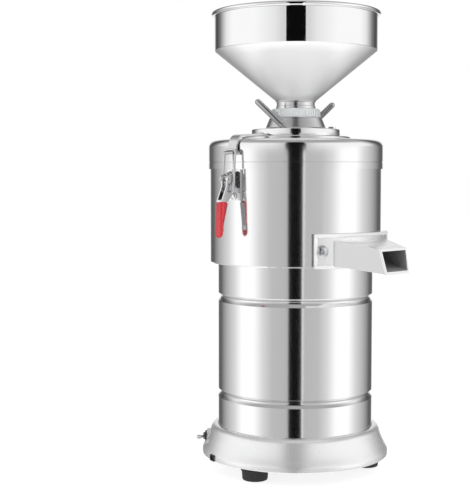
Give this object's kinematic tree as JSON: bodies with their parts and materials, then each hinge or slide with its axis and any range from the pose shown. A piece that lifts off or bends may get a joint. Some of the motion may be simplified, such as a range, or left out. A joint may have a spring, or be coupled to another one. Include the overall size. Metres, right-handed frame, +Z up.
{
  "type": "nut butter grinder",
  "caption": "Upright nut butter mill with a funnel hopper, screw-adjusted stones, a cast side spout, toggle latches and a motor in the lower shell.",
  "frame": {"origin": "machine's vertical axis at the plane the feet stand on", "axes": "+Z up, -Y out of the spout, +X to the right of someone facing the spout"},
  "size_m": [0.2166, 0.2204, 0.4518],
  "materials": {
    "polished_steel": "polished stainless sheet with strip reflections",
    "hopper_steel": "polished band over a satin cone",
    "bright_steel": "bright plated steel",
    "base_paint": "cast aluminium under fine silver paint",
    "cast_aluminium": "light silver cast aluminium",
    "laminations": "varnished laminations",
    "copper": "enamelled copper windings",
    "black_rubber": "matt black rubber",
    "black_plastic": "black moulded plastic",
    "plate_steel": "dark painted sheet",
    "red_grip": "soft glossy red dip",
    "pale_plastic": "pale grey-white moulding",
    "stone": "bonded abrasive stone"
  },
  "bodies": {
    "frame": {"base_casting": "base_paint", "base_bottom_plate": "plate_steel", "plate_screws": "bright_steel", "rubber_feet": "black_rubber", "foot_screws": "bright_steel", "cord_grommet": "black_rubber", "switch_body": "black_plastic", "switch_nut": "black_plastic", "motor_shell": "polished_steel", "lower_end_shield": "cast_aluminium", "upper_end_shield": "cast_aluminium", "stator_core": "laminations", "stator_windings": "copper", "tie_bolts": "bright_steel", "run_capacitor": "pale_plastic", "lower_bearing": "bright_steel", "upper_bearing": "bright_steel", "grinder_housing": "polished_steel", "grinding_bowl": "cast_aluminium", "shaft_seal": "black_rubber", "housing_lid": "polished_steel", "head_disc": "polished_steel", "hook_straps": "bright_steel", "strap_rivets": "bright_steel", "spout": "cast_aluminium", "spout_flange": "cast_aluminium", "spout_gasket": "black_rubber", "spout_screws": "bright_steel", "latch_brackets": "bright_steel", "bracket_rivets": "bright_steel"},
    "rotor": {"motor_shaft": "bright_steel", "rotor_core": "laminations", "cooling_fan": "black_plastic", "flinger": "bright_steel", "rotating_stone": "stone", "stone_bolt": "bright_steel"},
    "stone_lift": {"stone_carrier": "bright_steel", "fixed_stone": "stone"},
    "adjuster": {"adjusting_ring": "polished_steel", "handle_rods": "bright_steel", "feed_cone": "cast_aluminium", "ring_bolts": "bright_steel"},
    "clamp_nut": {"ring_nut": "pale_plastic"},
    "hopper": {"hopper": "hopper_steel", "hopper_neck": "hopper_steel"},
    "latch_left": {"lever_left": "bright_steel", "grip_left": "red_grip", "pivot_pin_left": "bright_steel"},
    "bail_left": {"bail_left": "bright_steel"},
    "latch_right": {"lever_right": "bright_steel", "grip_right": "red_grip", "pivot_pin_right": "bright_steel"},
    "bail_right": {"bail_right": "bright_steel"},
    "switch_lever": {"switch_lever": "bright_steel"}
  },
  "joints": [
    {"name": "rotor_spin", "type": "hinge", "parent": "frame", "child": "rotor", "pos_m": [0, 0, 0.1], "axis": [0, 0, 1], "continuous": true},
    {"name": "stone_adjust", "type": "slide", "parent": "frame", "child": "stone_lift", "axis": [0, 0, 1], "range_m": [0, 0.00155]},
    {"name": "ring_turn", "type": "hinge", "parent": "stone_lift", "child": "adjuster", "pos_m": [0, 0, 0.333], "axis": [0, 0, 1], "range_deg": [0, 270]},
    {"name": "nut_turn", "type": "hinge", "parent": "adjuster", "child": "clamp_nut", "pos_m": [0, 0, 0.352], "axis": [0, 0, 1], "range_deg": [0, 360]},
    {"name": "hopper_lift", "type": "slide", "parent": "adjuster", "child": "hopper", "axis": [0, 0, 1], "range_m": [0, 0.06]},
    {"name": "latch_left_turn", "type": "hinge", "parent": "frame", "child": "latch_left", "pos_m": [-0.096, 0, 0.288], "axis": [0, 1, 0], "range_deg": [0, 110]},
    {"name": "bail_left_turn", "type": "hinge", "parent": "latch_left", "child": "bail_left", "pos_m": [-0.095, 0, 0.27604], "axis": [0, 1, 0], "range_deg": [-86, 0]},
    {"name": "latch_right_turn", "type": "hinge", "parent": "frame", "child": "latch_right", "pos_m": [0.096, 0, 0.288], "axis": [0, -1, 0], "range_deg": [0, 110]},
    {"name": "bail_right_turn", "type": "hinge", "parent": "latch_right", "child": "bail_right", "pos_m": [0.095, 0, 0.27604], "axis": [0, -1, 0], "range_deg": [-86, 0]},
    {"name": "switch_flip", "type": "hinge", "parent": "frame", "child": "switch_lever", "pos_m": [-0.06056, 0.06725, 0.02791], "axis": [0.7431, 0.6691, 0], "range_deg": [0, 26]}
  ],
  "couplings": [
    {"joint": "stone_adjust", "follows": "ring_turn", "m_per_rad": 0.00031831},
    {"joint": "bail_left_turn", "follows": "latch_left_turn", "ratio": -0.78},
    {"joint": "bail_right_turn", "follows": "latch_right_turn", "ratio": -0.78}
  ]
}
